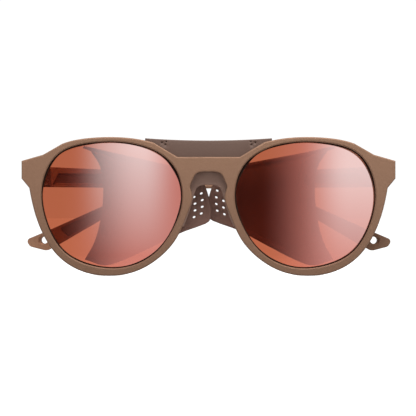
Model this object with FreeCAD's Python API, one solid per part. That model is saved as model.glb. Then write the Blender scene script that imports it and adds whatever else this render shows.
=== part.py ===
import FreeCAD, Part
import math
import os

from FreeCAD import Vector

# Glacier glasses, lying folded as they are carried. Millimetres.
# X runs to the wearer's left, Y from the lenses back to the face, Z up.
# The origin is the middle of the bounding box's underside, where the rims touch the ground.
# Both temples lie across the back of the lenses, the left one outermost.

# Front frame, a slab bent about a vertical axis
HALF_WIDTH = 72.5
FRONT_Y = -14.2
FRONT_RADIUS = 700.0
FRONT_THICK = 4.5
EDGE_ROUND = 0.5
OPENING_BEVEL = 0.4
HIGH = 80.0

# The left half of the outline, as (x, z)
BRIDGE_TOP = 46.1
BRIDGE_HALF = 12.1
RIM_SHOULDER = (21.4, 51.7)
RIM_TOP = [RIM_SHOULDER, (28.8, 53.25), (38.2, 53.85), (47.4, 53.35), (52.6, 52.5), (56.6, 51.3)]
END_STEP = (64.1, 47.0)
END_TOP = 44.6
END_BOTTOM = 37.75
RIM_CORNER = (69.5, 34.1)
RIM_LOWER = [
    RIM_CORNER, (68.2, 27.6), (64.3, 16.4), (56.7, 6.2), (47.4, 1.2), (38.1, 0.0), (28.8, 1.5),
    (19.5, 6.7), (12.5, 14.4), (7.9, 24.7), (6.4, 29.2), (6.3, 31.0), (6.9, 33.4), (7.1, 34.5),
    (6.8, 35.6), (5.8, 37.9), (5.0, 39.3), (3.4, 40.15), (0.0, 40.3),
]

# Lens opening of the left rim, as (x, z), and the lens, a part of a sphere
OPENING = [
    (10.4, 34.2), (18.0, 46.9), (31.3, 51.6), (44.6, 51.7), (58.25, 47.2), (64.6, 34.1),
    (62.7, 20.3), (55.7, 9.1), (44.0, 3.7), (31.7, 3.5), (20.3, 9.3), (12.8, 20.2),
]
LENS_X = 37.6
LENS_Z = 27.6
LENS_RADIUS = 105.0
LENS_THICK = 1.8
LENS_PROUD = 1.3
LIP_THICK = 0.8
LIP_DEPTH = 0.6
LENS_GAP = 0.06

# Hinge, three barrels on one pin in the end piece
HINGE_X = 67.0
HINGE_Y = FRONT_Y + 17.5
HINGE_BOTTOM = 34.9
HINGE_TOP = 42.1
BARREL_RADIUS = 1.5
BARREL_GAP = 0.1
BARREL_CLEAR = 0.15
KNUCKLE_LOW = 37.25
KNUCKLE_HIGH = 39.75
PIN_RADIUS = 0.7
PIN_HEAD_RADIUS = 1.2
PIN_HEAD_THICK = 0.6
PIN_SLOT = 0.3
PIN_GAP = 0.06
FIT_GAP = 0.02
END_BLOCK_X = 65.0
END_BLOCK_BOTTOM = 34.9
END_BLOCK_TOP = 44.3
END_BLOCK_CORNER = 70.1
END_BLOCK_FRONT = FRONT_Y + 5.5
END_BLOCK_BACK = HINGE_Y - 1.8
LEAF_THICK = 1.2
LEAF_DEPTH = 3.4
SCREW_RADIUS = 0.55
SCREW_LENGTH = 5.0
SCREW_HEAD_RADIUS = 1.0
SCREW_HEAD_THICK = 0.6
SCREW_INSET = 2.0

# The hinge's plate on the temple
TEMPLE_LEAF_INNER = 0.4
TEMPLE_LEAF_START = 1.95
TEMPLE_LEAF_END = 5.6
TEMPLE_LEAF_INSET = 0.3
TEMPLE_SCREW_R = 3.8
TEMPLE_SCREW_INSET = 1.6
TEMPLE_SCREW_LENGTH = 3.2

# Temple, laid along r from the hinge axis, with w from its inner side outward
TEMPLE_START = -1.3
TEMPLE_ROOT_LENGTH = 14.0
TEMPLE_ROOT_RADIUS = 40.0
TEMPLE_INNER = 1.5
TEMPLE_THICK = 3.9
TEMPLE_THICK_MIDDLE = 3.2
TEMPLE_THICK_TIP = 3.0
TEMPLE_BOTTOM = 34.5
TEMPLE_BOTTOM_BEND = 33.8
TEMPLE_TOP = 42.6
BEND_R = 86.0
TOE_IN = 6.0
TOE_IN_RADIUS = 110.0
TIP_R = 138.2
FOLD_STACK = 4.5
LEFT_SHIELD_SHIFT = 0.8
LEASH_HOLE = (131.3, 13.8)
LEASH_RADIUS = 1.4
LEASH_BEVEL = 0.4

# Track in the temple's inner side for the shield, with a steel strip under it
TRACK_START = 6.2
TRACK_END = 74.0
TRACK_BOTTOM = 35.0
TRACK_TOP = 39.8
TRACK_DEPTH = 0.9
STRIP_START = 7.5
STRIP_END = 46.0
STRIP_BOTTOM = 36.0
STRIP_TOP = 38.8
STRIP_THICK = 0.4

# Soft grip inlaid in the inner side of the temple's end, and the wire inside it
GRIP_DEPTH = 0.7
GRIP_PROUD = 0.15
CORE_INNER = 1.1
CORE_OUTER = 2.1
CORE_HALF_HEIGHT = 0.9

# Side shield, a soft flap on a carrier that slides in the track
SHIELD_BACK = -4.5
SHIELD_THICK = 1.2
BAND_THICK = 0.8
POCKETS = [(29.3, 36.5, 4), (28.1, 27.3, -4), (26.3, 17.2, -10)]
POCKET_WIDTH = 2.1
POCKET_HEIGHT = 4.9
POCKET_DEPTH = 0.5
HOLE_COLUMNS = [(64.6, 28.1), (61.8, 26.7)]
HOLES_PER_COLUMN = 4
HOLE_PITCH = 2.6
HOLE_BOW = 0.18
HOLE_WIDTH = 0.8
HOLE_HEIGHT = 1.25
HOLE_LEAN = 62
CARRIER_START = 30.5
CARRIER_END = 41.5
CARRIER_GAP = 0.15
CARRIER_FOOT_THICK = 1.95
CARRIER_POST_INSET = 2.0
CARRIER_HEAD_THICK = 1.2
MAGNET_RADIUS = 1.5
MAGNET_THICK = 1.0
MAGNET_SPACING = 5.5

# Brow shield and nose saddle, soft pieces behind the bridge, on one clip
SOFT_GAP = 0.1
BROW_THICK = 1.8
BROW_HALF = 25.2
BROW_TOP_END = 53.4
BROW_TOP_MIDDLE = 52.5
BROW_LOWER = [(BROW_HALF, 51.0), (19.0, 48.5), (13.3, 44.4), (9.2, 39.8), (0.0, 41.2)]
DIMPLE_RADIUS = 0.4
DIMPLE_DEPTH = 0.7
DIMPLES = [(18.4, 51.7), (16.7, 52.1), (17.0, 50.9)]
SADDLE_DEPTH = 6.0
CLIP_THICK = 0.8
CLIP_SEAT = 0.05
CLIP_BOTTOM = 38.2
CLIP_TOP = 44.0

parts = {}


def xz(x, z):
    return Vector(x, 0.0, z)


def xy(x, y):
    return Vector(x, y, 0.0)


def spline(points, closed=False, lift=xz):
    """A smooth curve through the points."""
    curve = Part.BSplineCurve()
    curve.interpolate([lift(*point) for point in points], PeriodicFlag=closed)
    return curve.toShape()


def line(start, finish, lift=xz):
    return Part.LineSegment(lift(*start), lift(*finish)).toShape()


def rounded(corners, lift=xz):
    """A closed wire of straight runs through (a, b, radius) corners, rounded by tangent arcs.

    A corner with no radius, or in line with its neighbours, stays a plain point.
    """
    turns = []
    for i, (a, b, radius) in enumerate(corners):
        here = lift(a, b)
        before = lift(*corners[i - 1][:2]) - here
        after = lift(*corners[(i + 1) % len(corners)][:2]) - here
        before.normalize()
        after.normalize()
        inward = before + after
        if radius == 0 or inward.Length < 1e-6:
            turns.append((here, here, here, 0))
            continue
        inward.normalize()
        half = before.getAngle(after) / 2
        middle = here + inward * (radius / math.sin(half) - radius)
        reach = radius / math.tan(half)
        turns.append((here + before * reach, middle, here + after * reach, radius))
    edges = []
    for i, (start, middle, finish, radius) in enumerate(turns):
        if radius > 0:
            edges.append(Part.Arc(start, middle, finish).toShape())
        edges.append(Part.LineSegment(finish, turns[(i + 1) % len(turns)][0]).toShape())
    return Part.Wire(edges)


def deep(wire, start=-60.0, finish=60.0):
    """The XZ outline carried along Y."""
    face = Part.Face(wire)
    face.translate(Vector(0, start, 0))
    return face.extrude(Vector(0, finish - start, 0))


def tall(wire, bottom=-5.0, top=HIGH):
    """The XY outline carried up Z."""
    face = Part.Face(wire)
    face.translate(Vector(0, 0, bottom))
    return face.extrude(Vector(0, 0, top - bottom))


def box(low, high):
    return Part.makeBox(*(b - a for a, b in zip(low, high)), Vector(*low))


def rod(radius, start, finish):
    start = Vector(*start)
    run = Vector(*finish) - start
    return Part.makeCylinder(radius, run.Length, start, run)


def scaled(points, growth, centre):
    """The points moved out from the centre by about growth, for a nearly round outline."""
    grown = []
    for x, z in points:
        reach = math.hypot(x - centre[0], z - centre[1])
        factor = 1 + growth / reach
        grown.append((centre[0] + (x - centre[0]) * factor, centre[1] + (z - centre[1]) * factor))
    return grown


def mirrored(shape):
    return shape.mirror(Vector(0, 0, 0), Vector(1, 0, 0))


def both(shape):
    return shape.fuse(mirrored(shape)).removeSplitter()


def shell_layer(near, far):
    """The layer of the bent front between two depths behind its face."""
    axis = Vector(0, FRONT_Y + FRONT_RADIUS, -5)
    outer = Part.makeCylinder(FRONT_RADIUS - near, HIGH + 5, axis)
    inner = Part.makeCylinder(FRONT_RADIUS - far, HIGH + 5, axis)
    return outer.cut(inner)


def on_layer(edge, depth):
    """Whether the whole edge lies at one depth behind the bent front's face."""
    middle = FRONT_Y + FRONT_RADIUS
    reach = FRONT_RADIUS - depth
    return all(abs(math.hypot(p.x, p.y - middle) - reach) < 0.001 for p in edge.discretize(7))


def lens_centre():
    """The centre of the lens's front sphere."""
    turn = math.asin(LENS_X / FRONT_RADIUS)
    outward = Vector(math.sin(turn), -math.cos(turn), 0)
    face = Vector(LENS_X, FRONT_Y + FRONT_RADIUS * (1 - math.cos(turn)), LENS_Z)
    return face + outward * (LENS_PROUD - LENS_RADIUS)


def lens_layer(near, far, growth):
    """The layer of the lens between two depths behind its front, to the opening's outline and beyond."""
    centre = lens_centre()
    outline = spline(scaled(OPENING, growth, (LENS_X, LENS_Z)), closed=True)
    bounds = deep(Part.Wire([outline]), FRONT_Y - 10, FRONT_Y + 20)
    outer = Part.makeSphere(LENS_RADIUS - near, centre)
    inner = Part.makeSphere(LENS_RADIUS - far, centre)
    return outer.cut(inner).common(bounds)


def at_temple(r, w):
    """X and Y of the place r along the left temple and w out from the hinge axis, folded flat."""
    return (HINGE_X - r, HINGE_Y + w)


def temple_xz(r, z):
    return Vector(HINGE_X - r, 0, z)


def temple_xy(r, w):
    return Vector(HINGE_X - r, HINGE_Y + w, 0)


def temple_box(r, w, z):
    """A box from (low, high) pairs of r, w and z."""
    low_x, low_y = at_temple(r[1], w[0])
    high_x, high_y = at_temple(r[0], w[1])
    return box((low_x, low_y, z[0]), (high_x, high_y, z[1]))


def front_frame():
    top = [(0.0, BRIDGE_TOP), (BRIDGE_HALF, BRIDGE_TOP), RIM_SHOULDER]
    end = [RIM_TOP[-1], END_STEP, (HALF_WIDTH, END_TOP), (HALF_WIDTH, END_BOTTOM), RIM_CORNER]
    edges = [line(a, b) for a, b in zip(top, top[1:])]
    edges.append(spline(RIM_TOP))
    edges += [line(a, b) for a, b in zip(end, end[1:])]
    edges.append(spline(RIM_LOWER))
    edges.append(line(RIM_LOWER[-1], top[0]))
    half = deep(Part.Wire(edges), FRONT_Y - 5, FRONT_Y + 25)
    half = half.common(shell_layer(0, FRONT_THICK))
    half = half.cut(deep(Part.Wire([spline(OPENING, closed=True)])))
    rims = [edge for edge in half.Edges if on_layer(edge, 0) or on_layer(edge, FRONT_THICK)]
    outer = [edge for edge in rims if not edge.isClosed() and edge.BoundBox.XMax > FIT_GAP]
    half = half.makeFillet(EDGE_ROUND, outer)
    rims = [edge for edge in half.Edges if on_layer(edge, 0)]
    half = half.makeChamfer(OPENING_BEVEL, [edge for edge in rims if edge.isClosed()])
    block_outline = rounded([
        (END_BLOCK_X, END_BLOCK_BOTTOM, 0.6),
        (END_BLOCK_CORNER, END_BLOCK_BOTTOM, 1.0),
        (HALF_WIDTH, END_BOTTOM, 1.0),
        (HALF_WIDTH, END_BLOCK_TOP, 0.8),
        (END_BLOCK_X, END_BLOCK_TOP, 0.8),
    ])
    block = deep(block_outline, END_BLOCK_FRONT, END_BLOCK_BACK)
    frame = both(half).fuse(block).fuse(mirrored(block))
    groove = (LENS_THICK - LIP_THICK) / 2 - LENS_GAP
    space = lens_layer(groove, LENS_THICK - groove, LIP_DEPTH + LENS_GAP)
    space = space.fuse(leaf_plate(LENS_GAP / 2)).fuse(front_screw_space())
    return frame.cut(space).cut(mirrored(space))


def lens():
    body = lens_layer(0, LENS_THICK, -LENS_GAP)
    lip = lens_layer((LENS_THICK - LIP_THICK) / 2, (LENS_THICK + LIP_THICK) / 2, LIP_DEPTH)
    return body.fuse(lip)


def leaf_plate(gap=0.0):
    """The plate of the front hinge, let into the back of the end piece."""
    half = LEAF_THICK / 2 + gap
    return box(
        (HINGE_X - half, END_BLOCK_BACK - LEAF_DEPTH - gap, HINGE_BOTTOM - gap),
        (HINGE_X + half, HINGE_Y, HINGE_TOP + gap),
    )


def front_screw_places():
    y = END_BLOCK_BACK - LEAF_DEPTH / 2
    return [(y, HINGE_BOTTOM + SCREW_INSET), (y, HINGE_TOP - SCREW_INSET)]


def front_screw(y, z, gap=0.0):
    start = (END_BLOCK_X, y, z)
    head = rod(SCREW_HEAD_RADIUS + gap, start, (END_BLOCK_X + SCREW_HEAD_THICK + gap, y, z))
    return head.fuse(rod(SCREW_RADIUS + gap, start, (END_BLOCK_X + SCREW_LENGTH + gap, y, z)))


def front_screw_space():
    low, high = (front_screw(y, z, LENS_GAP / 2) for y, z in front_screw_places())
    return low.fuse(high)


def on_pin(radius, bottom, top):
    return rod(radius, (HINGE_X, HINGE_Y, bottom), (HINGE_X, HINGE_Y, top))


def barrel(bottom, top):
    return on_pin(BARREL_RADIUS, bottom, top).cut(on_pin(PIN_RADIUS + PIN_GAP, bottom - 1, top + 1))


def hinge_front():
    """The plate in the end piece, with the upper and lower barrels."""
    plate = leaf_plate()
    reach = BARREL_RADIUS + BARREL_CLEAR
    middle = box(
        (HINGE_X - reach, HINGE_Y - reach, KNUCKLE_LOW - BARREL_GAP),
        (HINGE_X + reach, HINGE_Y + reach, KNUCKLE_HIGH + BARREL_GAP),
    )
    plate = plate.cut(middle)
    plate = plate.cut(on_pin(PIN_RADIUS + PIN_GAP, 0, HIGH))
    plate = plate.fuse(barrel(HINGE_BOTTOM, KNUCKLE_LOW - BARREL_GAP))
    plate = plate.fuse(barrel(KNUCKLE_HIGH + BARREL_GAP, HINGE_TOP))
    return plate.cut(front_screw_space())


def hinge_pin():
    top = HINGE_TOP + PIN_HEAD_THICK
    shaft = on_pin(PIN_RADIUS, HINGE_BOTTOM, HINGE_TOP)
    head = on_pin(PIN_HEAD_RADIUS, HINGE_TOP, top)
    slot = box(
        (HINGE_X - BARREL_RADIUS, HINGE_Y - PIN_SLOT / 2, top - PIN_HEAD_THICK / 2),
        (HINGE_X + BARREL_RADIUS, HINGE_Y + PIN_SLOT / 2, top + 1),
    )
    return shaft.fuse(head).cut(slot)


def temple_leaf():
    """The plate on the temple's inner side, with the middle barrel."""
    thick = (TEMPLE_LEAF_INNER, TEMPLE_INNER)
    height = (HINGE_BOTTOM + TEMPLE_LEAF_INSET, HINGE_TOP - TEMPLE_LEAF_INSET)
    plate = temple_box((TEMPLE_LEAF_START, TEMPLE_LEAF_END), thick, height)
    neck = temple_box((0, TEMPLE_LEAF_START + 0.5), thick, (KNUCKLE_LOW, KNUCKLE_HIGH))
    bore = on_pin(PIN_RADIUS + PIN_GAP, 0, HIGH)
    leaf = plate.fuse(neck).cut(bore).fuse(barrel(KNUCKLE_LOW, KNUCKLE_HIGH))
    for screw in temple_screws(FIT_GAP):
        leaf = leaf.cut(screw)
    return leaf


def temple_screws(gap=0.0):
    """Two short screws that hold the leaf to the temple."""
    screws = []
    x, y = at_temple(TEMPLE_SCREW_R, TEMPLE_LEAF_INNER)
    for z in (HINGE_BOTTOM + TEMPLE_SCREW_INSET, HINGE_TOP - TEMPLE_SCREW_INSET):
        head = rod(SCREW_HEAD_RADIUS + gap, (x, y, z), (x, y + SCREW_HEAD_THICK, z))
        screws.append(head.fuse(rod(SCREW_RADIUS + gap, (x, y, z), (x, y + TEMPLE_SCREW_LENGTH, z))))
    return screws


def plan_strip(inner, outer_start, outer_middle, outer_tip):
    """The temple seen from above, between an inner and an outer offset, with the toed-in end."""
    slope = math.tan(math.radians(TOE_IN))
    bend_r = BEND_R
    tip_r = TIP_R + 3
    drop = (tip_r - bend_r) * slope
    base = TEMPLE_INNER
    return tall(rounded([
        (TEMPLE_START, base + inner, 0),
        (bend_r, base + inner, TOE_IN_RADIUS),
        (tip_r, base + inner - drop, 0),
        (tip_r, base + outer_tip - drop, 0),
        (bend_r, base + outer_middle, TOE_IN_RADIUS),
        (TEMPLE_START + TEMPLE_ROOT_LENGTH, base + outer_start, TEMPLE_ROOT_RADIUS),
        (TEMPLE_START, base + outer_start, 0),
    ], temple_xy))


def temple_side():
    """The temple seen from the side: a straight arm, a bend down behind the ear and a rounded tip."""
    return rounded([
        (TEMPLE_START, TEMPLE_BOTTOM, 0.8),
        (85.2, TEMPLE_BOTTOM_BEND, 38.0),
        (109.0, 21.9, 60.0),
        (124.5, 12.8, 12.0),
        (130.3, 9.6, 3.0),
        (136.8, 11.3, 2.0),
        (138.4, 13.9, 1.4),
        (127.3, 18.6, 30.0),
        (108.2, 27.2, 60.0),
        (84.5, 38.6, 26.0),
        (TEMPLE_START, TEMPLE_TOP, 1.0),
    ], temple_xz)


def leash_cut():
    """The leash hole through the tip, with a bevel at both mouths."""
    r, z = LEASH_HOLE
    depth = (r - BEND_R) * math.tan(math.radians(TOE_IN))
    turn = math.radians(TOE_IN)
    across = Vector(math.sin(turn), math.cos(turn), 0)
    x, y = at_temple(r, TEMPLE_INNER - depth)
    inner_mouth = Vector(x, y, z)
    hole = Part.makeCylinder(LEASH_RADIUS, 12, inner_mouth - across * 4, across)
    outer_mouth = inner_mouth + across * TEMPLE_THICK_TIP
    bevel = across * LEASH_BEVEL
    wide = LEASH_RADIUS + 2 * LEASH_BEVEL
    inner = Part.makeCone(wide, LEASH_RADIUS, 2 * LEASH_BEVEL, inner_mouth - bevel, across)
    outer = Part.makeCone(LEASH_RADIUS, wide, 2 * LEASH_BEVEL, outer_mouth - bevel, across)
    return hole.fuse(inner).fuse(outer)


def grip_outline():
    """The grip from the side, set in from the temple's edges, cut off at a slant before the tip."""
    return rounded([
        (89.0, 32.9, 0.6),
        (109.4, 22.7, 50.0),
        (121.9, 15.3, 0.6),
        (125.2, 18.4, 0.6),
        (108.1, 26.1, 50.0),
        (91.0, 34.3, 0.6),
    ], temple_xz)


def grip(proud):
    return plan_strip(-proud, GRIP_DEPTH, GRIP_DEPTH, GRIP_DEPTH).common(deep(grip_outline()))


def core():
    """The bendable wire inside the temple's end, along the middle of its side view."""
    half = CORE_HALF_HEIGHT
    middle = [(68.0, 36.9, 0), (84.2, 36.3, 24.0), (108.6, 24.5, 50.0), (126.0, 16.4, 0)]
    under = [(r, z - half, radius) for r, z, radius in middle]
    over = [(r, z + half, radius) for r, z, radius in reversed(middle)]
    side = rounded(under + over, temple_xz)
    return plan_strip(CORE_INNER, CORE_OUTER, CORE_OUTER, CORE_OUTER).common(deep(side))


def track():
    """The recess that the shield's carrier slides in, with a slanted front end."""
    outline = rounded([
        (TRACK_START, TRACK_BOTTOM, 0.3), (TRACK_END, TRACK_BOTTOM, 1.0),
        (TRACK_END, 38.0, 1.0), (60.0, 38.9, 20.0), (TRACK_START + 2.2, TRACK_TOP, 0.3),
    ], temple_xz)
    return deep(outline, HINGE_Y, HINGE_Y + TEMPLE_INNER + TRACK_DEPTH)


def strip(gap=0.0):
    bottom = TEMPLE_INNER + TRACK_DEPTH
    return temple_box(
        (STRIP_START - gap, STRIP_END + gap), (bottom, bottom + STRIP_THICK + gap),
        (STRIP_BOTTOM - gap, STRIP_TOP + gap),
    )


def temple():
    plan = plan_strip(0, TEMPLE_THICK, TEMPLE_THICK_MIDDLE, TEMPLE_THICK_TIP)
    arm = plan.common(deep(temple_side()))
    arm = arm.cut(track()).cut(strip(FIT_GAP)).cut(leash_cut())
    arm = arm.cut(grip(1.0)).cut(core())
    for screw in temple_screws(FIT_GAP):
        arm = arm.cut(screw)
    return arm


def shield_outline():
    """The shield from the side: a wide hollowed edge at the rim, narrowing to a round end."""
    front = [(18.9, 6.3), (22.6, 13.0), (25.0, 21.8), (26.1, 32.5), (25.0, 42.0), (21.2, 48.5)]
    edges = [spline(front, lift=temple_xz)]
    tab = [front[-1], (18.1, 49.6), (18.6, 50.5), (62.0, 40.6)]
    edges += [line(a, b, temple_xz) for a, b in zip(tab, tab[1:])]
    end = [tab[-1], (65.3, 35.6), (67.3, 30.0), (68.1, 25.0), (67.5, 21.6), (65.9, 20.2)]
    edges.append(spline(end, lift=temple_xz))
    lower = [end[-1], (62.5, 18.9), (56.0, 16.5), (44.4, 10.9), (34.5, 6.3), (26.7, 4.0), front[0]]
    edges.append(spline(lower, lift=temple_xz))
    return Part.Wire(edges)


def band_outline():
    """The thicker band along the shield's wide edge."""
    front = [(19.3, 6.6), (23.0, 13.0), (25.4, 21.8), (26.5, 32.5), (25.4, 42.0), (21.7, 48.4)]
    back = [(27.0, 47.3), (31.0, 44.0), (32.4, 36.0), (31.9, 26.0), (29.8, 16.0), (26.4, 5.0)]
    edges = [spline(front, lift=temple_xz), line(front[-1], back[0], temple_xz)]
    edges += [spline(back, lift=temple_xz), line(back[-1], front[0], temple_xz)]
    return Part.Wire(edges)


def slot_hole(r, z, width, height, lean):
    """An upright slot with round ends, leaning by an angle."""
    half = width / 2
    end = height / 2
    corner = half * 0.999
    outline = rounded([
        (r - half, z - end, corner), (r + half, z - end, corner),
        (r + half, z + end, corner), (r - half, z + end, corner),
    ], temple_xz)
    shape = deep(outline, HINGE_Y - 12, HINGE_Y)
    shape.rotate(Vector(HINGE_X - r, 0, z), Vector(0, 1, 0), lean)
    return shape


def shield_pockets():
    """Blind oval pockets along the band, cut through it and a little into the panel."""
    floor = HINGE_Y + SHIELD_BACK - SHIELD_THICK + POCKET_DEPTH
    space = box((0, floor - 12, 0), (HINGE_X, floor, HIGH))
    return [slot_hole(r, z, POCKET_WIDTH, POCKET_HEIGHT, lean).common(space) for r, z, lean in POCKETS]


def shield_perforations():
    """Two bowed columns of small holes near the shield's round end."""
    holes = []
    for r, z in HOLE_COLUMNS:
        for i in range(HOLES_PER_COLUMN):
            step = i - (HOLES_PER_COLUMN - 1) / 2
            bow = HOLE_BOW * step * step
            holes.append(slot_hole(r - bow, z + HOLE_PITCH * step, HOLE_WIDTH, HOLE_HEIGHT, HOLE_LEAN))
    return holes


def shield_panel():
    back = HINGE_Y + SHIELD_BACK
    panel = deep(shield_outline(), back - SHIELD_THICK, back)
    for hole in shield_pockets() + shield_perforations():
        panel = panel.cut(hole)
    return panel


def shield_band():
    face = HINGE_Y + SHIELD_BACK - SHIELD_THICK
    band = deep(band_outline(), face - BAND_THICK, face)
    for hole in shield_pockets():
        band = band.cut(hole)
    return band


def carrier():
    """The foot in the track and the post that carries the shield clear of the other temple."""
    low = TRACK_BOTTOM + CARRIER_GAP
    high = TRACK_TOP - 0.7
    bottom = TEMPLE_INNER + TRACK_DEPTH - CARRIER_GAP
    foot = temple_box((CARRIER_START, CARRIER_END), (bottom - CARRIER_FOOT_THICK, bottom), (low, high))
    narrow = (CARRIER_START + CARRIER_POST_INSET, CARRIER_END - CARRIER_POST_INSET)
    post = temple_box(narrow, (SHIELD_BACK, bottom - 1.0), (low + 0.8, high - 0.4))
    wide = (CARRIER_START - 0.5, CARRIER_END + 1)
    head = temple_box(wide, (SHIELD_BACK, SHIELD_BACK + CARRIER_HEAD_THICK), (low, high + 0.8))
    body = foot.fuse(post).fuse(head).removeSplitter()
    for magnet in magnets(FIT_GAP):
        body = body.cut(magnet)
    return body


def magnets(gap=0.0):
    """Two round magnets in the carrier's foot."""
    middle = (CARRIER_START + CARRIER_END) / 2
    z = (STRIP_BOTTOM + STRIP_TOP) / 2
    bottom = TEMPLE_INNER + TRACK_DEPTH - CARRIER_GAP
    discs = []
    for side in (-0.5, 0.5):
        x, y = at_temple(middle + side * MAGNET_SPACING, bottom)
        discs.append(rod(MAGNET_RADIUS + gap, (x, y - MAGNET_THICK - gap, z), (x, y, z)))
    return discs


def brow_shield():
    """The brow piece: a bent plate behind the bridge, standing up above it."""
    end = (BROW_HALF, BROW_TOP_END)
    middle = (0.0, BROW_TOP_MIDDLE)
    bow = (BROW_HALF / 2, BROW_TOP_MIDDLE + 0.2)
    corners = [end] + BROW_LOWER + [middle]
    edges = [line(a, b) for a, b in zip(corners, corners[1:])]
    edges.append(Part.Arc(xz(*middle), xz(*bow), xz(*end)).toShape())
    near = FRONT_THICK + SOFT_GAP
    plate = deep(Part.Wire(edges), FRONT_Y, FRONT_Y + 20).common(shell_layer(near, near + BROW_THICK))
    for x, z in DIMPLES:
        face = FRONT_Y + near + FRONT_RADIUS - math.sqrt(FRONT_RADIUS ** 2 - x ** 2)
        plate = plate.cut(rod(DIMPLE_RADIUS, (x, face - 1, z), (x, face + DIMPLE_DEPTH, z)))
    return both(plate)


def nose_saddle():
    """The arch that sits on the nose, filling the head of the keyhole, with a wing down each side."""
    outer = [(0.0, 41.0), (9.0, 39.6), (9.4, 32.5), (11.0, 25.0), (13.0, 19.5)]
    inner = [(9.6, 19.2), (7.2, 25.6), (5.5, 31.6), (4.5, 34.1), (2.4, 35.2), (0.0, 35.3)]
    edges = [line(outer[0], outer[1]), spline(outer[1:]), line(outer[-1], inner[0])]
    edges += [spline(inner), line(inner[-1], outer[0])]
    near = FRONT_THICK + SOFT_GAP
    body = deep(Part.Wire(edges), FRONT_Y, FRONT_Y + 20).common(shell_layer(near, near + SADDLE_DEPTH))
    body = body.cut(clip_half(FIT_GAP))
    return both(body)


def clip_half(gap=0.0):
    """Half of the stiff clip inside the saddle and behind the brow piece."""
    near = FRONT_THICK + SOFT_GAP + BROW_THICK + CLIP_SEAT
    outline = rounded([
        (-1.0, CLIP_BOTTOM - gap, 0),
        (6.6 + gap, CLIP_BOTTOM - gap, 0.8),
        (8.0 + gap, CLIP_TOP + gap, 0.8),
        (-1.0, CLIP_TOP + gap, 0),
    ])
    plate = deep(outline, FRONT_Y, FRONT_Y + 20)
    plate = plate.common(box((0, FRONT_Y, 0), (40, FRONT_Y + 20, HIGH)))
    return plate.common(shell_layer(near - gap, near + CLIP_THICK + gap))


def save(name, shapes):
    shape = Part.makeCompound(shapes) if len(shapes) > 1 else shapes[0]
    parts[name] = shape


def stacked(shape, shift=0):
    """The left temple's rest, turned about its hinge to lie over the right one.

    The shift is how much nearer its hinge a shield stands on the left temple.
    """
    shape = shape.copy()
    shape.translate(Vector(shift, 0, 0))
    shape.rotate(Vector(HINGE_X, HINGE_Y, 0), Vector(0, 0, 1), -FOLD_STACK)
    return shape


def build():
    parts["front_frame"] = front_frame()
    parts["brow_shield"] = brow_shield()
    parts["nose_saddle"] = nose_saddle()
    parts["saddle_clip"] = both(clip_half())
    fixed = {
        "lens": [lens()],
        "hinge_front": [hinge_front()],
        "hinge_front_screws": [front_screw(y, z) for y, z in front_screw_places()],
        "hinge_pin": [hinge_pin()],
    }
    moving = {
        "temple": [temple()],
        "hinge_temple": [temple_leaf()],
        "hinge_temple_screws": temple_screws(),
        "temple_strip": [strip()],
        "temple_grip": [grip(GRIP_PROUD)],
        "temple_core": [core()],
        "shield_panel": [shield_panel()],
        "shield_band": [shield_band()],
        "shield_carrier": [carrier()],
        "shield_magnets": magnets(),
    }
    for name, shapes in fixed.items():
        save("left_" + name, shapes)
        save("right_" + name, [mirrored(shape) for shape in shapes])
    for name, shapes in moving.items():
        shift = LEFT_SHIELD_SHIFT if name.startswith("shield_") else 0
        save("left_" + name, [stacked(shape, shift) for shape in shapes])
        save("right_" + name, [mirrored(shape) for shape in shapes])


build()
os.makedirs("parts", exist_ok=True)
for name, shape in sorted(parts.items()):
    shape.exportStep(f"parts/{name}.step")
    print(name, len(shape.Solids), "solids", round(shape.Volume, 1), "mm3", shape.isValid())
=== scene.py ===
import math

import bmesh
import bpy
from mathutils import Matrix, Vector
from mathutils.geometry import delaunay_2d_cdt


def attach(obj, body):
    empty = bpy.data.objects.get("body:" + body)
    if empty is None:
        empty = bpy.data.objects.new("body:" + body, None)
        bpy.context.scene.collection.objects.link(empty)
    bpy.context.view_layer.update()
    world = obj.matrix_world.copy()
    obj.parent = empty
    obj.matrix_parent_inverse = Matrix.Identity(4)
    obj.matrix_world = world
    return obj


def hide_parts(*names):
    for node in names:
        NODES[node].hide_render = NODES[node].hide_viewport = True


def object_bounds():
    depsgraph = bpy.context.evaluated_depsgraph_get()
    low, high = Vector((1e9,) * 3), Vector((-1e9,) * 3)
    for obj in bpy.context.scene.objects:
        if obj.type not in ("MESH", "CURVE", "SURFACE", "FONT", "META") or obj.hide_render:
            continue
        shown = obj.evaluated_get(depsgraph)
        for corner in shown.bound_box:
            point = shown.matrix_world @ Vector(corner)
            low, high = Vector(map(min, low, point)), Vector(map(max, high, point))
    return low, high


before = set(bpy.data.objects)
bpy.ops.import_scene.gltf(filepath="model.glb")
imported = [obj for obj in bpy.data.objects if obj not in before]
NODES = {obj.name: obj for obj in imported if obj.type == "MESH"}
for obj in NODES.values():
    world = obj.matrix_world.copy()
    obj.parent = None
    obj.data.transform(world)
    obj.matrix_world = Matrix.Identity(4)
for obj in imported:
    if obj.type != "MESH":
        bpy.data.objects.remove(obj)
CAD_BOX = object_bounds()

MM = 0.001

# The design's own sizes, in millimetres, as in the model
FRONT_Y = -14.2
FRONT_RADIUS = 700.0
HINGE_X = 67.0
HINGE_Y = FRONT_Y + 17.5
FOLD_STACK = 4.5
LENS_X = 37.6
LENS_Z = 27.6
LENS_RADIUS = 105.0
LENS_THICK = 1.8
LENS_PROUD = 1.3
OPENING = [
    (10.4, 34.2), (18.0, 46.9), (31.3, 51.6), (44.6, 51.7), (58.25, 47.2), (64.6, 34.1),
    (62.7, 20.3), (55.7, 9.1), (44.0, 3.7), (31.7, 3.5), (20.3, 9.3), (12.8, 20.2),
]
SHIELD_BACK = -4.5
SHIELD_THICK = 1.2


# ---------------------------------------------------------------- shader helpers

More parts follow.
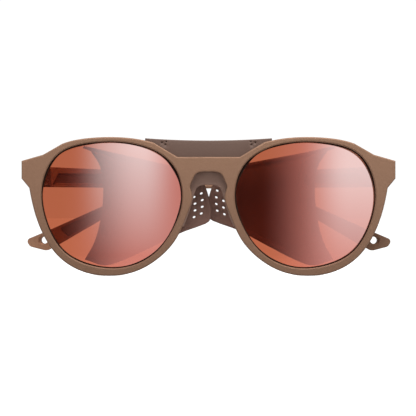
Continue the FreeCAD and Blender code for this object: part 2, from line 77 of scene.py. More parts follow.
def new_material(name):
    material = bpy.data.materials.new(name)
    material.use_nodes = True
    tree = material.node_tree
    tree.nodes.clear()
    out = tree.nodes.new("ShaderNodeOutputMaterial")
    return material, tree, out


def mapped(tree, source, low, high, to_low, to_high, smooth=False):
    made = tree.nodes.new("ShaderNodeMapRange")
    made.interpolation_type = "SMOOTHSTEP" if smooth else "LINEAR"
    tree.links.new(source, made.inputs["Value"])
    for name, value in (("From Min", low), ("From Max", high), ("To Min", to_low), ("To Max", to_high)):
        made.inputs[name].default_value = value
    return made.outputs["Result"]


def math_node(tree, operation, a, b):
    made = tree.nodes.new("ShaderNodeMath")
    made.operation = operation
    for socket, value in zip(made.inputs, (a, b)):
        if isinstance(value, (int, float)):
            socket.default_value = value
        else:
            tree.links.new(value, socket)
    return made.outputs[0]


def mix_colour(tree, factor, a, b, blend="MIX"):
    made = tree.nodes.new("ShaderNodeMix")
    made.data_type = "RGBA"
    made.blend_type = blend
    for socket, value in ((made.inputs[0], factor), (made.inputs[6], a), (made.inputs[7], b)):
        if isinstance(value, (int, float)):
            socket.default_value = value
        elif isinstance(value, tuple):
            socket.default_value = (*value, 1.0)
        else:
            tree.links.new(value, socket)
    return made.outputs[2]


def noise(tree, scale, detail=2.0, roughness=0.5, stretch=None):
    """Noise in the object's own metres."""
    place = tree.nodes.new("ShaderNodeTexCoord").outputs["Object"]
    if stretch:
        mapping = tree.nodes.new("ShaderNodeMapping")
        mapping.inputs["Scale"].default_value = stretch
        tree.links.new(place, mapping.inputs["Vector"])
        place = mapping.outputs["Vector"]
    made = tree.nodes.new("ShaderNodeTexNoise")
    made.inputs["Scale"].default_value = scale
    made.inputs["Detail"].default_value = detail
    made.inputs["Roughness"].default_value = roughness
    tree.links.new(place, made.inputs["Vector"])
    return made.outputs["Fac"]


def bump_node(tree, height, strength, distance):
    made = tree.nodes.new("ShaderNodeBump")
    made.inputs["Strength"].default_value = strength
    made.inputs["Distance"].default_value = distance
    tree.links.new(height, made.inputs["Height"])
    return made


def soft_edges(tree, radius):
    """Normals rounded over sharp edges, and a mask that is about 1 on them."""
    rounded = tree.nodes.new("ShaderNodeBevel")
    rounded.samples = 6
    rounded.inputs["Radius"].default_value = radius
    plain = tree.nodes.new("ShaderNodeNewGeometry")
    dot = tree.nodes.new("ShaderNodeVectorMath")
    dot.operation = "DOT_PRODUCT"
    tree.links.new(rounded.outputs["Normal"], dot.inputs[0])
    tree.links.new(plain.outputs["Normal"], dot.inputs[1])
    return rounded.outputs["Normal"], mapped(tree, dot.outputs["Value"], 1.0, 0.8, 0.0, 1.0)


def bumped(tree, height, strength, distance, normal):
    made = bump_node(tree, height, strength, distance)
    tree.links.new(normal, made.inputs["Normal"])
    return made.outputs["Normal"]


EDGE_SHARE = 0.6


def moulded(name, colour, light, dark, roughness, metallic=0.0, grain=2600.0, depth=0.00003, edge=None,
            specular=0.3, radius=0.0004, rise=None):
    """Moulded or sprayed plastic or rubber: fine grain, slow clouds of tone and another tone on the edges.

    rise paints shade from the ground up: the paint darkens towards the bottom, as (low z, high z, lowest
    share). A dark edge tone is painted shade along the edges.
    """
    material, tree, out = new_material(name)
    shader = tree.nodes.new("ShaderNodeBsdfPrincipled")
    normal, mask = soft_edges(tree, radius)
    fine = noise(tree, grain, 3.0, 0.7)
    slow = noise(tree, 60.0, 3.0, 0.5)
    tone = mix_colour(tree, mapped(tree, fine, 0.35, 0.65, 0.0, 1.0), dark, light)
    tone = mix_colour(tree, mapped(tree, slow, 0.3, 0.7, 0.55, 0.85), tone, colour)
    # The edges take another tone; a dark edge tone here is painted shade along the edges.
    tone = mix_colour(tree, math_node(tree, "MULTIPLY", mask, EDGE_SHARE), tone, edge or light)
    # Painted shade: the colour darkens towards the bottom, by the share that rise gives.
    if rise:
        place = tree.nodes.new("ShaderNodeSeparateXYZ")
        tree.links.new(tree.nodes.new("ShaderNodeTexCoord").outputs["Object"], place.inputs[0])
        share = mapped(tree, place.outputs["Z"], rise[0], rise[1], rise[2], 1.0, smooth=True)
        painted_shade = tree.nodes.new("ShaderNodeCombineXYZ")
        for socket in painted_shade.inputs:
            tree.links.new(share, socket)
        tone = mix_colour(tree, 1.0, tone, painted_shade.outputs[0], "MULTIPLY")
    tree.links.new(tone, shader.inputs["Base Color"])
    rough = mapped(tree, fine, 0.3, 0.7, roughness - 0.06, roughness + 0.06)
    tree.links.new(rough, shader.inputs["Roughness"])
    shader.inputs["Metallic"].default_value = metallic
    shader.inputs["Specular IOR Level"].default_value = specular
    tree.links.new(bumped(tree, fine, 0.5, depth, normal), shader.inputs["Normal"])
    tree.links.new(shader.outputs[0], out.inputs["Surface"])
    return material


def metal(name, colour, roughness, brushed=(1.0, 1.0, 30.0)):
    """Turned or brushed metal with fine lines and a little tarnish."""
    material, tree, out = new_material(name)
    shader = tree.nodes.new("ShaderNodeBsdfPrincipled")
    normal, mask = soft_edges(tree, 0.00015)
    lines = noise(tree, 900.0, 3.0, 0.6, stretch=brushed)
    stains = noise(tree, 300.0, 4.0, 0.6)
    dull = tuple(0.6 * c for c in colour)
    bright = tuple(min(1.0, 1.3 * c) for c in colour)
    tone = mix_colour(tree, mapped(tree, stains, 0.4, 0.7, 0.0, 0.6), colour, dull)
    tone = mix_colour(tree, math_node(tree, "MULTIPLY", mask, EDGE_SHARE), tone, bright)
    tree.links.new(tone, shader.inputs["Base Color"])
    rough = mapped(tree, lines, 0.3, 0.7, roughness - 0.08, roughness + 0.12)
    tree.links.new(rough, shader.inputs["Roughness"])
    shader.inputs["Metallic"].default_value = 1.0
    tree.links.new(bumped(tree, lines, 0.3, 0.00002, normal), shader.inputs["Normal"])
    tree.links.new(shader.outputs[0], out.inputs["Surface"])
    return material


COAT_SHARE = 0.8
THINNEST_COAT = 0.02
COAT_ROUGHNESS = 0.02
COAT_ROSE = (0.68, 0.24, 0.2)
# Whitish tint of the painted highlight on the coat.
PAINTED_HIGHLIGHT_TINT = (0.97, 0.72, 0.70)
LENS_TINT = (0.66, 0.34, 0.235)
SHADOW_TINT = (0.9, 0.78, 0.72)


def lens_material(name, middle, share, rise, fall, height):
    """A tinted lens with a rose mirror coat on its outside that reflects the room and grows stronger across
    the lens: a painted brightening of its reflection.

    share, rise and fall are runs in x from the middle, and height a run in z: where the coat grows stronger,
    and where it turns from rose to the whitish tint of a painted highlight.
    """
    material, tree, out = new_material(name)
    clear = tree.nodes.new("ShaderNodeBsdfTransparent")
    haze = noise(tree, 25.0, 2.0, 0.5)
    deeper = tuple(0.98 * c for c in LENS_TINT)
    tint = mix_colour(tree, mapped(tree, haze, 0.3, 0.7, 0.0, 1.0), LENS_TINT, deeper)
    shadow = tree.nodes.new("ShaderNodeLightPath").outputs["Is Shadow Ray"]
    tree.links.new(mix_colour(tree, shadow, tint, SHADOW_TINT), clear.inputs["Color"])
    place = tree.nodes.new("ShaderNodeSeparateXYZ")
    tree.links.new(tree.nodes.new("ShaderNodeTexCoord").outputs["Object"], place.inputs[0])
    across = math_node(tree, "SUBTRACT", place.outputs["X"], middle * MM)
    # Painted highlight: a whitish patch on the coat, where the light's reflection falls.
    painted_highlight = mapped(tree, across, rise[0] * MM, rise[1] * MM, 0.0, 1.0, smooth=True)
    back = mapped(tree, across, fall[0] * MM, fall[1] * MM, 1.0, 0.0, smooth=True)
    up = mapped(tree, place.outputs["Z"], height[0] * MM, height[1] * MM, 0.0, 1.0)
    painted_highlight = math_node(tree, "MULTIPLY", math_node(tree, "MULTIPLY", painted_highlight, back), up)
    coat = tree.nodes.new("ShaderNodeBsdfGlossy")
    coat.inputs["Roughness"].default_value = COAT_ROUGHNESS
    tree.links.new(mix_colour(tree, painted_highlight, COAT_ROSE, PAINTED_HIGHLIGHT_TINT), coat.inputs["Color"])
    inside = tree.nodes.new("ShaderNodeNewGeometry").outputs["Backfacing"]
    outside = math_node(tree, "SUBTRACT", 1.0, inside)
    # Painted reflection: the coat's share grows across the lens, brightening its reflection there.
    thick = mapped(tree, across, share[0] * MM, share[1] * MM, THINNEST_COAT, COAT_SHARE, smooth=True)
    mix = tree.nodes.new("ShaderNodeMixShader")
    tree.links.new(math_node(tree, "MULTIPLY", outside, thick), mix.inputs["Fac"])
    tree.links.new(clear.outputs[0], mix.inputs[1])
    tree.links.new(coat.outputs[0], mix.inputs[2])
    tree.links.new(mix.outputs[0], out.inputs["Surface"])
    return material


# ---------------------------------------------------------------- materials

FRONT_TONES = ((0.20, 0.111, 0.070), (0.26, 0.153, 0.101), (0.146, 0.077, 0.046))
# The temples' tones are a lighter copy of the front's bronze paint: painted light on the temples, which sit
# in shade behind the lenses.
LIT_TEMPLE_TONES = ((0.33, 0.183, 0.115), (0.41, 0.241, 0.159), (0.255, 0.134, 0.08))
# Dark edge tone of the temples: painted shade along their edges.
TEMPLE_EDGE_SHADE = (0.1, 0.055, 0.038)
# The front's paint darkens towards the bottom and takes a dark edge tone: painted shade.
BRONZE = moulded("front_bronze_with_painted_shade", *FRONT_TONES, 0.5, 0.3, edge=(0.08, 0.044, 0.03), specular=0.15,
                 rise=(0.0, 0.05, 0.75), depth=0.00006)
LEFT_LIT_BRONZE = moulded("left_temple_lit_paint", *LIT_TEMPLE_TONES, 0.5, 0.3, edge=TEMPLE_EDGE_SHADE, specular=0.2,
                      depth=0.00006)
# The right temple also darkens towards the bottom: painted shade.
RIGHT_LIT_BRONZE_SHADED_BELOW = moulded("right_temple_lit_paint_shaded_below", *LIT_TEMPLE_TONES, 0.5, 0.3, edge=TEMPLE_EDGE_SHADE, specular=0.2,
                       rise=(0.02, 0.036, 0.5), depth=0.00006)
SOFT_BROWN = moulded("soft_brown", (0.1, 0.06, 0.046), (0.118, 0.072, 0.056), (0.084, 0.05, 0.037), 0.65)
# The saddle's tones are a lighter copy of the soft brown: painted light where the bridge shades it.
LIT_SADDLE_BROWN = moulded("saddle_brown_lit", (0.23, 0.14, 0.108), (0.26, 0.165, 0.128), (0.2, 0.12, 0.092), 0.65)
# The shield's dark edge tone is painted shade along its edges.
SHIELD_BROWN = moulded("shield_brown", (0.16, 0.083, 0.062), (0.19, 0.105, 0.08), (0.135, 0.068, 0.05), 0.6,
                       edge=(0.05, 0.024, 0.018), radius=0.0006)
GRIP_BROWN = moulded("grip_brown", (0.13, 0.07, 0.052), (0.16, 0.09, 0.068), (0.1, 0.054, 0.04), 0.65)
CLIP_BLACK = moulded("clip_plastic", (0.035, 0.026, 0.022), (0.06, 0.045, 0.04), (0.02, 0.015, 0.012), 0.5)
# A dark band round each lens's edge: painted shade of the rim's groove.
LENS_GROOVE_SHADE = moulded("lens_groove_painted_shade", (0.03, 0.014, 0.01), (0.04, 0.02, 0.014), (0.02, 0.009, 0.006), 0.5,
                    specular=0.1)
STEEL = metal("hinge_steel", (0.42, 0.38, 0.35), 0.32)
SCREW = metal("screw_steel", (0.5, 0.47, 0.44), 0.28, brushed=(1.0, 1.0, 1.0))
STRIP = metal("strip_steel", (0.3, 0.28, 0.27), 0.35, brushed=(30.0, 1.0, 1.0))
NICKEL = metal("magnet_nickel", (0.62, 0.59, 0.55), 0.2, brushed=(1.0, 1.0, 1.0))

FINISH = {
    "front_frame": BRONZE, "left_temple": LEFT_LIT_BRONZE, "right_temple": RIGHT_LIT_BRONZE_SHADED_BELOW,
    "saddle_clip": CLIP_BLACK, "brow_shield": SOFT_BROWN, "nose_saddle": SOFT_BROWN,
    "hinge_front": STEEL, "hinge_temple": STEEL, "hinge_pin": SCREW,
    "hinge_front_screws": SCREW, "hinge_temple_screws": SCREW,
    "temple_strip": STRIP, "temple_grip": GRIP_BROWN, "temple_core": STEEL,
    "shield_panel": SHIELD_BROWN, "shield_band": SHIELD_BROWN,
    "shield_carrier": CLIP_BLACK, "shield_magnets": NICKEL,
}


def plain_name(name):
    """A node's name without its side."""
    return name.split("_", 1)[1] if name.startswith(("left_", "right_")) else name


def dress(obj, material):
    obj.data.materials.clear()
    obj.data.materials.append(material)


for name, obj in NODES.items():
    finish = FINISH.get(name) or FINISH.get(plain_name(name))
    if finish:
        dress(obj, finish)


# ---------------------------------------------------------------- geometry helpers

def smooth_span(a, b, c, d, steps):
    """Points from b to just before c on a smooth curve through all four."""
    out = []
    for s in range(steps):
        t = s / steps
        out.append(0.5 * (2 * b + (c - a) * t + (2 * a - 5 * b + 4 * c - d) * t ** 2
                          + (3 * b - a - 3 * c + d) * t ** 3))
    return out


def smooth_loop(points, steps):
    """A closed smooth curve through the points."""
    out = []
    count = len(points)
    for i in range(count):
        a, b, c, d = (Vector(points[(i + k) % count]) for k in (-1, 0, 1, 2))
        out += smooth_span(a, b, c, d, steps)
    return out


def make_object(name, verts, faces, material):
    """A smooth-shaded object from points in millimetres."""
    mesh = bpy.data.meshes.new(name)
    mesh.from_pydata([Vector(v) * MM for v in verts], [], faces)
    mesh.validate()
    mesh.polygons.foreach_set("use_smooth", [True] * len(mesh.polygons))
    mesh.materials.append(material)
    obj = bpy.data.objects.new(name, mesh)
    bpy.context.scene.collection.objects.link(obj)
    return obj


WELD_DISTANCE = 0.000002


def tidy_mesh(obj):
    """Close doubled points and turn all faces outward."""
    bm = bmesh.new()
    bm.from_mesh(obj.data)
    bmesh.ops.remove_doubles(bm, verts=bm.verts, dist=WELD_DISTANCE)
    bmesh.ops.recalc_face_normals(bm, faces=bm.faces)
    bm.to_mesh(obj.data)
    bm.free()


# ---------------------------------------------------------------- lenses

LENS_EDGE_WIDTH = 0.5
LENS_LIP = 0.5
LENS_RINGS = 40


def lens_centre():
    """The middle of the left lens's ball."""
    turn = math.asin(LENS_X / FRONT_RADIUS)
    outward = Vector((math.sin(turn), -math.cos(turn), 0))
    face = Vector((LENS_X, FRONT_Y + FRONT_RADIUS * (1 - math.cos(turn)), LENS_Z))
    return face + outward * (LENS_PROUD - LENS_RADIUS)


def make_lens(side, sign, coat):
    """A ball-shaped shell to just inside the rim's groove, with a dark band round its edge: painted shade of
    the groove.
    """
    centre = lens_centre()
    outline = smooth_loop(OPENING, 16)
    verts = []
    for radius in (LENS_RADIUS, LENS_RADIUS - LENS_THICK):
        for ring in range(LENS_RINGS + 1):
            for x, z in outline:
                reach = math.hypot(x - LENS_X, z - LENS_Z)
                share = ring / (LENS_RINGS - 1) * (1 - LENS_EDGE_WIDTH / reach)
                if ring == LENS_RINGS:
                    share = 1 + LENS_LIP / reach
                px = LENS_X + (x - LENS_X) * share
                pz = LENS_Z + (z - LENS_Z) * share
                depth = math.sqrt(radius ** 2 - (px - centre.x) ** 2 - (pz - centre.z) ** 2)
                verts.append((sign * px, centre.y - depth, pz))
    count = len(outline)
    layer = (LENS_RINGS + 1) * count
    faces = []
    edge = []
    for start in (0, layer):
        for ring in range(LENS_RINGS):
            for i in range(count):
                j = (i + 1) % count
                low = start + ring * count
                edge.append(ring == LENS_RINGS - 1)
                faces.append((low + i, low + j, low + count + j, low + count + i))
    rim = LENS_RINGS * count
    for i in range(count):
        j = (i + 1) % count
        edge.append(True)
        faces.append((rim + i, rim + j, layer + rim + j, layer + rim + i))
    mirror = lens_material(f"{side}_lens_mirror", sign * LENS_X, *coat)
    lens = make_object(f"{side}_lens_glass", verts, faces, mirror)
    # The faces round the edge take the dark material: painted shade of the groove.
    lens.data.materials.append(LENS_GROOVE_SHADE)
    lens.data.polygons.foreach_set("material_index", [int(flag) for flag in edge])
    tidy_mesh(lens)
    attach(lens, "front")
    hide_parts(f"{side}_lens")


# Each lens has its own runs for the coat's painted brightening and painted highlight.
make_lens("right", -1, ((-21, 11), (-16, -4), (12, 27), (8, 49)))
make_lens("left", 1, ((-18, 14), (-4, 18), (30, 40), (-2, 42)))


# ---------------------------------------------------------------- soft pieces

def inset(loop, distance):
    """A loop that runs anticlockwise, moved inward."""
    out = []
    for i, here in enumerate(loop):
        before = (here - loop[i - 1]).normalized()
        after = (loop[(i + 1) % len(loop)] - here).normalized()
        inward = Vector((-before.y - after.y, before.x + after.x))
        scale = max(0.35, 1 + before.dot(after))
        out.append(here + inward * distance / scale)
    return out


def area(loop):
    return sum(a.x * b.y - a.y * b.x for a, b in zip(loop, loop[1:] + loop[:1])) / 2


def anticlockwise(loop):
    loop = [Vector(p) for p in loop]
    return loop if area(loop) > 0 else loop[::-1]


def contains(loop, p):
    inside = False
    for a, b in zip(loop, loop[1:] + loop[:1]):
        if (a.y > p.y) != (b.y > p.y) and p.x < (b.x - a.x) * (p.y - a.y) / (b.y - a.y) + a.x:
            inside = not inside
    return inside


def far_from(loop, p, distance):
    for a, b in zip(loop, loop[1:] + loop[:1]):
        run = b - a
        t = max(0.0, min(1.0, (p - a).dot(run) / run.length_squared))
        if (a + run * t - p).length < distance:
            return False
    return True


LIP_STEP = 0.35
POCKET_TAPER = 0.15
ROUND_STEPS = 4


def soft_plate(name, outline, place, thick, material, rounding=0.3, holes=(), pockets=(), pocket_depth=0.5,
               lip_width=0.0, lip_height=0.0, grid=1.2):
    """A plate with rounded edges, through holes, blind pockets and a raised lip.

    place turns (u, v, depth behind the front face) into a point.
    """
    outline = anticlockwise(outline)
    holes = [anticlockwise(loop) for loop in holes]
    pockets = [anticlockwise(loop) for loop in pockets]
    face_outline = inset(outline, rounding)
    rings = []
    if lip_height:
        rings = [inset(outline, lip_width), inset(outline, lip_width + LIP_STEP)]
    verts = []
    faces = []

    def skin(loops, guides, depth_at):
        """Add one face of the plate and return where each of the loops' points went."""
        points, triangles, origin = triangulated(loops, guides, grid)
        base = len(verts)
        verts.extend(place(p.x, p.y, depth_at(p)) for p in points)
        faces.extend(tuple(base + k for k in triangle) for triangle in triangles)
        where = {}
        for index, sources in enumerate(origin):
            for source in sources:
                where[source] = base + index
        result = []
        start = 0
        for loop in loops:
            result.append([where[start + i] for i in range(len(loop))])
            start += len(loop)
        return result

    def bridge(a, b):
        count = len(a)
        faces.extend((a[i], a[(i + 1) % count], b[(i + 1) % count], b[i]) for i in range(count))

    def ring_of(loop, depth):
        base = len(verts)
        verts.extend(place(p.x, p.y, depth) for p in loop)
        return list(range(base, base + len(loop)))

    def front_depth(p):
        if not rings or not contains(rings[0], p):
            return -lip_height
        return 0.0 if contains(rings[1], p) or not far_from(rings[1], p, 0.02) else -lip_height

    front = skin([face_outline] + holes + pockets, rings, front_depth)
    back = skin([face_outline] + holes, [], lambda p: thick)
    turns = [math.radians(90 * i / ROUND_STEPS) for i in range(1, ROUND_STEPS + 1)]
    stages = [(turn, -lip_height, 1) for turn in turns]
    stages += [(turn, thick, -1) for turn in reversed(turns)]
    last = front[0]
    for turn, face, inward in stages:
        loop = inset(outline, rounding * (1 - math.sin(turn)))
        ring = ring_of(loop, face + inward * rounding * (1 - math.cos(turn)))
        bridge(last, ring)
        last = ring
    bridge(last, back[0])
    for mouth, far in zip(front[1:1 + len(holes)], back[1:]):
        bridge(mouth, far)
    for mouth, loop in zip(front[1 + len(holes):], pockets):
        floor = ring_of(inset(loop, POCKET_TAPER), pocket_depth)
        bridge(mouth, floor)
        faces.append(tuple(floor))
    plate = make_object(name, verts, faces, material)
    tidy_mesh(plate)
    return plate


GUIDE_GAP = 0.12


def triangulated(loops, guides, grid):
    """Triangles inside the first loop and outside the others, over a grid of points.

    Guide loops only add points. It returns the points, the triangles and where each point came from.
    """
    points = [p for loop in loops for p in loop]
    edges = []
    start = 0
    for loop in loops:
        count = len(loop)
        edges += [(start + i, start + (i + 1) % count) for i in range(count)]
        start += count
    outline = loops[0]
    for loop in guides:
        inner = [p for p in loop if contains(outline, p)]
        points += [p for p in inner if all(far_from(other, p, GUIDE_GAP) for other in loops)]
    low_x, high_x = min(p.x for p in outline), max(p.x for p in outline)
    low_y, high_y = min(p.y for p in outline), max(p.y for p in outline)
    for i in range(int((high_x - low_x) / grid) + 1):
        for j in range(int((high_y - low_y) / grid) + 1):
            p = Vector((low_x + (i + 0.5 * (j % 2)) * grid, low_y + j * grid))
            if contains(outline, p) and all(far_from(loop, p, grid * 0.4) for loop in loops + guides):
                points.append(p)
    made = delaunay_2d_cdt(points, edges, [], 0, 1e-6)
    points, triangles = made[0], made[2]
    kept = []
    for triangle in triangles:
        middle = sum((points[k] for k in triangle), Vector((0, 0))) / 3
        if contains(outline, middle) and not any(contains(loop, middle) for loop in loops[1:]):
            kept.append(tuple(triangle))
    return points, kept, made[3]


def smooth_run(points, steps=8):
    """An open smooth curve through the points."""
    ends = [2 * Vector(points[0]) - Vector(points[1])]
    ends += [Vector(p) for p in points]
    ends.append(2 * Vector(points[-1]) - Vector(points[-2]))
    out = []
    for a, b, c, d in zip(ends, ends[1:], ends[2:], ends[3:]):
        out += smooth_span(a, b, c, d, steps)
    out.append(Vector(points[-1]))
    return out


def straight_run(a, b, steps):
    return [Vector(a).lerp(Vector(b), i / steps) for i in range(steps + 1)]


def joined(*runs):
    """Runs end to end as one closed loop, without doubled points."""
    out = []
    for run in runs:
        for p in run:
            if not out or (out[-1] - p).length > 0.01:
                out.append(p)
    if (out[0] - out[-1]).length < 0.01:
        out.pop()
    return out


def oval(u, v, width, height, lean, count=20):
    """An upright oval, leaning by an angle."""
    turn = math.radians(lean)
    out = []
    for i in range(count):
        a = 2 * math.pi * i / count
        du = width / 2 * math.cos(a)
        dv = height / 2 * math.sin(a)
        out.append(Vector((u + du * math.cos(turn) - dv * math.sin(turn),
                           v + du * math.sin(turn) + dv * math.cos(turn))))
    return out


EAR_LEAN = 1.3
LEAN_START = 30.0
LEAN_RUN = 11.0
LEFT_EAR_LIFT = 1.1
LIFT_START = 30.0
LIFT_RUN = 24.0
LEFT_SHIELD_SHIFT = 0.8


def temple_place(side, w, shift):
    """Turns (r, z, depth) on a temple's inner side into a point, with the shield's ends leaning to the lens.

    The left shield's free end also stands a little higher, as its soft flap bends over the right temple.
    """
    turn = math.radians(-FOLD_STACK) if side == "left" else 0.0
    ear_lift = LEFT_EAR_LIFT if side == "left" else 0.0
    sign = 1 if side == "left" else -1
    spin = Matrix.Rotation(turn, 3, "Z")

    def place(r, z, depth):
        lean = EAR_LEAN * max(0.0, (LEAN_START - r) / LEAN_RUN) ** 2
        lift = ear_lift * min(1.0, max(0.0, (r - LIFT_START) / LIFT_RUN))
        local = Vector((sign * (shift - r), w + depth - lean, 0))
        point = spin @ local
        return Vector((point.x + sign * HINGE_X, point.y + HINGE_Y, z + lift))

    return place


BAND_THICK = 0.8
WIDE_EDGE = [(18.9, 6.3), (22.6, 13.0), (25.0, 21.8), (26.1, 32.5), (25.0, 42.0), (21.2, 48.5)]
TAB = [(21.2, 48.5), (18.1, 49.6), (18.6, 50.5)]
ROUND_END = [(62.0, 40.6), (65.3, 35.6), (67.3, 30.0), (68.1, 25.0), (67.5, 21.6), (65.9, 20.2)]
LOWER_EDGE = [(65.9, 20.2), (62.5, 18.9), (56.0, 16.5), (44.4, 10.9), (34.5, 6.3), (26.7, 4.0), (18.9, 6.3)]
BAND_FRONT = [(19.3, 6.6), (23.0, 13.0), (25.4, 21.8), (26.5, 32.5), (25.4, 42.0), (21.7, 48.4)]
BAND_BACK = [(27.0, 47.3), (31.0, 44.0), (32.4, 36.0), (31.9, 26.0), (29.8, 16.0), (26.4, 5.0)]
POCKETS = [(29.3, 36.5, 4), (28.1, 27.3, -4), (26.3, 17.2, -10)]
POCKET_SIZE = (2.1, 4.9)
HOLE_COLUMNS = [(64.6, 28.1), (61.8, 26.7)]
HOLES_A_COLUMN = 4
HOLE_SPACING = 2.6
HOLE_BOW = 0.18
HOLE_SIZE = (0.72, 1.15)
HOLE_LEAN = -62


def perforations():
    """Two bowed columns of slanted holes at the shield's free end."""
    holes = []
    for r, z in HOLE_COLUMNS:
        for i in range(HOLES_A_COLUMN):
            step = i - (HOLES_A_COLUMN - 1) / 2
            holes.append(oval(r - HOLE_BOW * step * step, z + HOLE_SPACING * step, *HOLE_SIZE, HOLE_LEAN))
    return holes


def make_shield(side):
    """A flap with a raised lip, and the thicker band along its wide edge."""
    shift = LEFT_SHIELD_SHIFT if side == "left" else 0.0
    outline = joined(
        smooth_run(WIDE_EDGE), straight_run(TAB[0], TAB[1], 4), straight_run(TAB[1], TAB[2], 2),
        straight_run(TAB[2], ROUND_END[0], 40), smooth_run(ROUND_END), smooth_run(LOWER_EDGE),
    )
    pockets = [oval(r, z, *POCKET_SIZE, -lean) for r, z, lean in POCKETS]
    panel_w = SHIELD_BACK - SHIELD_THICK
    panel = soft_plate(
        f"{side}_shield_flap", outline, temple_place(side, panel_w, shift), SHIELD_THICK, SHIELD_BROWN,
        rounding=0.3, holes=perforations(), pockets=pockets, lip_width=1.3, lip_height=0.25,
    )
    band_outline = joined(
        smooth_run(BAND_FRONT), straight_run(BAND_FRONT[-1], BAND_BACK[0], 6),
        smooth_run(BAND_BACK), straight_run(BAND_BACK[-1], BAND_FRONT[0], 6),
    )
    band = soft_plate(
        f"{side}_shield_edge_band", inset(anticlockwise(band_outline), 0.2),
        temple_place(side, panel_w - BAND_THICK, shift), BAND_THICK + 0.1, SHIELD_BROWN,
        rounding=0.35, holes=pockets,
    )
    for piece, node_name in ((panel, "panel"), (band, "band")):
        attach(piece, f"{side}_shield")
        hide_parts(f"{side}_shield_{node_name}")


for side in ("right", "left"):
    make_shield(side)


def front_place(near):
    """Turns (x, z, depth) behind the bent front's face into a point."""
    def place(x, z, depth):
        radius = FRONT_RADIUS - near - depth
        return Vector((x, FRONT_Y + FRONT_RADIUS - math.sqrt(radius ** 2 - x ** 2), z))

    return place


BROW_NEAR = 4.6
BROW_THICK = 1.8
BROW_HALF = 24.6
BROW_MIDDLE = 52.5
BROW_BOW = 0.9
BROW_STEPS = 16
DIMPLES = [(18.1, 51.7), (16.4, 52.1), (16.7, 50.9)]
DIMPLE_WIDTH = 0.8


def make_brow():
    """The soft pad behind the bridge, with its bowed top and three dimples at each end."""
    half = [(BROW_HALF, 53.4), (BROW_HALF, 51.0), (19.0, 48.5), (13.3, 44.4), (9.2, 39.8), (0.0, 41.2)]
    runs = [straight_run(a, b, 8) for a, b in zip(half, half[1:])]
    lower = joined(*runs)
    shares = [1 - i / BROW_STEPS for i in range(1, BROW_STEPS)]
    top = [Vector((BROW_HALF * k, BROW_MIDDLE + BROW_BOW * k ** 2)) for k in reversed(shares)]
    right = [Vector((-p.x, p.y)) for p in reversed(lower[:-1])]
    right_top = [Vector((-p.x, p.y)) for p in reversed(top)]
    outline = lower + right + right_top + [Vector((0.0, BROW_MIDDLE))] + top
    dents = [oval(sign * x, z, DIMPLE_WIDTH, DIMPLE_WIDTH, 0, 14) for sign in (-1, 1) for x, z in DIMPLES]
    brow = soft_plate("brow_pad", outline, front_place(BROW_NEAR), BROW_THICK, SOFT_BROWN, rounding=0.35,
                      pockets=dents, pocket_depth=0.45, grid=1.5)
    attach(brow, "front")
    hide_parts("brow_shield")


def make_saddle():
    """The soft arch that sits on the nose."""
    outer = [(9.0, 39.6), (9.4, 32.5), (11.0, 25.0), (13.0, 19.5)]
    inner = [(9.6, 19.2), (7.2, 25.6), (5.5, 31.6), (4.5, 34.1), (2.4, 35.2), (0.0, 35.3)]
    half = joined(straight_run((0.0, 41.0), (9.0, 39.6), 8), smooth_run(outer),
                  straight_run(outer[-1], inner[0], 4), smooth_run(inner))
    other = [Vector((-p.x, p.y)) for p in reversed(half[1:-1])]
    saddle = soft_plate("nose_pad", half + other, front_place(BROW_NEAR), 6.0, LIT_SADDLE_BROWN,
                        rounding=0.8, grid=1.5)
    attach(saddle, "front")
    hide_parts("nose_saddle")


make_brow()
make_saddle()


# ---------------------------------------------------------------- studio

def background(tree, strength):
    made = tree.nodes.new("ShaderNodeBackground")
    made.inputs["Color"].default_value = (1.0, 1.0, 1.0, 1.0)
    if isinstance(strength, (int, float)):
        made.inputs["Strength"].default_value = strength
    else:
        tree.links.new(strength, made.inputs["Strength"])
    return made.outputs[0]


def mix_shader(tree, factor, a, b):
    made = tree.nodes.new("ShaderNodeMixShader")
    for socket, value in zip(made.inputs, (factor, a, b)):
        tree.links.new(value, socket)
    return made.outputs[0]


DIM_LEVEL = 0.25
FRONT_LEVEL = 0.72
TOP_LEVEL = 0.9
BACKDROP_LEVEL = 1.05


def make_world():
    """A white backdrop, with a soft light in front and above that leaves the sides and the ground dim."""
    world = bpy.data.worlds.new("studio")
    bpy.context.scene.world = world
    world.use_nodes = True
    tree = world.node_tree
    tree.nodes.clear()
    out = tree.nodes.new("ShaderNodeOutputWorld")
    way = tree.nodes.new("ShaderNodeSeparateXYZ")
    tree.links.new(tree.nodes.new("ShaderNodeTexCoord").outputs["Generated"], way.inputs[0])
    ahead = mapped(tree, way.outputs["Y"], -0.2, -0.95, DIM_LEVEL, FRONT_LEVEL, smooth=True)
    above = mapped(tree, way.outputs["Z"], 0.1, 0.9, 0.0, TOP_LEVEL, smooth=True)
    below = mapped(tree, way.outputs["Z"], -0.5, 0.1, 0.35, 1.0, smooth=True)
    soft = math_node(tree, "MULTIPLY", math_node(tree, "ADD", ahead, above), below)
    wall = mapped(tree, way.outputs["X"], -0.6, 0.3, 0.86, 1.0, smooth=True)
    path = tree.nodes.new("ShaderNodeLightPath")
    room = mix_shader(tree, path.outputs["Is Glossy Ray"], background(tree, soft), background(tree, wall))
    whole = mix_shader(tree, path.outputs["Is Camera Ray"], room, background(tree, BACKDROP_LEVEL))
    tree.links.new(whole, out.inputs["Surface"])


def make_light(name, place, target, size, power):
    light = bpy.data.lights.new(name, "AREA")
    light.shape = "RECTANGLE"
    light.size, light.size_y = size
    light.energy = power
    obj = bpy.data.objects.new(name, light)
    bpy.context.scene.collection.objects.link(obj)
    obj.location = place
    obj.rotation_euler = (Vector(target) - Vector(place)).to_track_quat("-Z", "Y").to_euler()


FLOOR_GLOW = 0.72


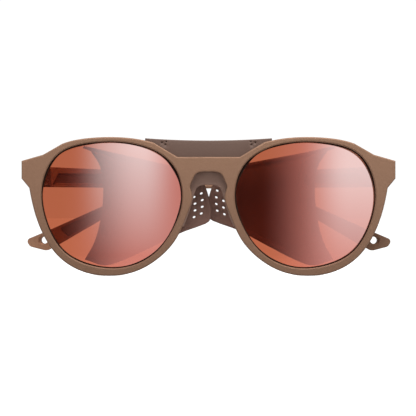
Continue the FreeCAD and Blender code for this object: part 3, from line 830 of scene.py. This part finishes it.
def make_floor():
    """A pale floor, bright enough to run into the backdrop, that still takes soft shadows."""
    bpy.ops.mesh.primitive_plane_add(size=40.0, location=(0, 0, 0))
    floor = bpy.context.object
    floor.name = "floor"
    material, tree, out = new_material("floor_white")
    matt = tree.nodes.new("ShaderNodeBsdfDiffuse")
    tone = mix_colour(tree, noise(tree, 3.0), (0.44, 0.44, 0.44), (0.46, 0.46, 0.46))
    tree.links.new(tone, matt.inputs["Color"])
    glow = tree.nodes.new("ShaderNodeEmission")
    seen = tree.nodes.new("ShaderNodeLightPath").outputs["Is Camera Ray"]
    tree.links.new(math_node(tree, "MULTIPLY", seen, FLOOR_GLOW), glow.inputs["Strength"])
    both = tree.nodes.new("ShaderNodeAddShader")
    tree.links.new(matt.outputs[0], both.inputs[0])
    tree.links.new(glow.outputs[0], both.inputs[1])
    tree.links.new(both.outputs[0], out.inputs["Surface"])
    dress(floor, material)
    floor.visible_glossy = False


PICTURE_WIDTH = 0.16105
CAMERA_DISTANCE = 3.0
SENSOR_WIDTH = 36.0
AIM_X = -0.0002
AIM_DROP = 0.0006


def make_camera():
    """Straight on from far away, as wide as the picture's 161 mm."""
    low, high = CAD_BOX
    data = bpy.data.cameras.new("camera")
    camera = bpy.data.objects.new("camera", data)
    bpy.context.scene.collection.objects.link(camera)
    data.sensor_width = SENSOR_WIDTH
    data.lens = SENSOR_WIDTH * CAMERA_DISTANCE / PICTURE_WIDTH
    data.clip_end = 20.0
    camera.location = (AIM_X, low.y - CAMERA_DISTANCE, (high.z + low.z) / 2 - AIM_DROP)
    camera.rotation_euler = (math.radians(90), 0, 0)
    bpy.context.scene.camera = camera


LIGHT_TARGET = (0, 0, 0.03)

make_world()
make_floor()
make_camera()
make_light("key_top", (0.1, -0.35, 0.7), LIGHT_TARGET, (0.7, 0.4), 9.0)
make_light("rim_back", (-0.2, 0.9, 0.6), LIGHT_TARGET, (0.8, 0.5), 1.5)

bpy.context.scene.view_settings.view_transform = "Standard"
bpy.context.scene.cycles.transparent_max_bounces = 16
